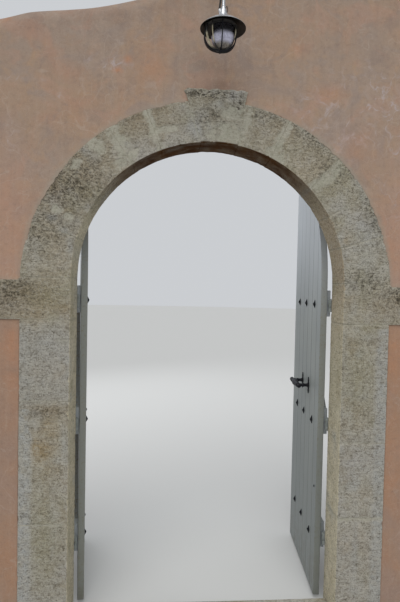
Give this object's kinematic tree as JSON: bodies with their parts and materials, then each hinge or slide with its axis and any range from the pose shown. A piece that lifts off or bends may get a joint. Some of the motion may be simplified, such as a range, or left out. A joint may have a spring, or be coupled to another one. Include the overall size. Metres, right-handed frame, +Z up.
{
  "type": "arched stone gateway",
  "caption": "Round-headed dressed stone archway through a rendered garden wall, with a pair of studded plank leaves opening inward and a caged lantern above.",
  "frame": {"origin": "centre of the opening on the threshold's underside, at the middle of the wall's thickness", "axes": "+X along the wall to the right as seen from outside, +Y through the wall into the courtyard, +Z up"},
  "size_m": [3.6, 1.2939, 3.487],
  "materials": {
    "render": "matt trowelled render, rosy tan and cloudy",
    "dressed_stone": "weathered, pitted and tooled, greyish beige",
    "painted_wood": "pale grey-green paint, satin, weathered",
    "black_iron": "blackened, semi-matt",
    "painted_iron": "pale grey-green paint over iron, worn",
    "lamp_metal": "dull nickel, weathered",
    "lamp_holder": "matt black",
    "lamp_glass": "clear, slightly dusty",
    "bulb_glass": "opal"
  },
  "bodies": {
    "masonry": {"left_wall": "render", "right_wall": "render", "left_spandrel": "render", "right_spandrel": "render", "left_capping": "render", "right_capping": "render", "threshold": "dressed_stone", "left_jamb_lower": "dressed_stone", "left_jamb_middle": "dressed_stone", "left_jamb_upper": "dressed_stone", "right_jamb_lower": "dressed_stone", "right_jamb_middle": "dressed_stone", "right_jamb_upper": "dressed_stone", "left_impost": "dressed_stone", "right_impost": "dressed_stone", "left_voussoir_1": "dressed_stone", "left_voussoir_2": "dressed_stone", "left_voussoir_3": "dressed_stone", "left_voussoir_4": "dressed_stone", "left_voussoir_5": "dressed_stone", "right_voussoir_1": "dressed_stone", "right_voussoir_2": "dressed_stone", "right_voussoir_3": "dressed_stone", "right_voussoir_4": "dressed_stone", "right_voussoir_5": "dressed_stone", "keystone": "dressed_stone", "left_pintles": "painted_iron", "right_pintles": "painted_iron", "lamp_wall_plate": "lamp_metal", "lamp_arm": "lamp_metal", "lamp_cap": "lamp_metal", "lamp_shade": "lamp_metal", "lamp_holder": "lamp_holder", "lamp_glass": "lamp_glass", "lamp_bulb": "bulb_glass", "lamp_cage": "lamp_metal"},
    "left_leaf": {"left_boards": "painted_wood", "left_ledges": "painted_wood", "left_braces": "painted_wood", "left_straps": "painted_iron", "left_studs": "black_iron"},
    "right_leaf": {"right_boards": "painted_wood", "right_ledges": "painted_wood", "right_braces": "painted_wood", "right_straps": "painted_iron", "right_studs": "black_iron", "handle_plates": "black_iron", "handle_grip": "black_iron"}
  },
  "joints": [
    {"name": "left_leaf_hinge", "type": "hinge", "parent": "masonry", "child": "left_leaf", "pos_m": [-0.7, 0.106, 1.024], "axis": [0, 0, 1], "range_deg": [-101, 9]},
    {"name": "right_leaf_hinge", "type": "hinge", "parent": "masonry", "child": "right_leaf", "pos_m": [0.7, 0.106, 1.024], "axis": [0, 0, -1], "range_deg": [-93.8, 16.2]}
  ]
}
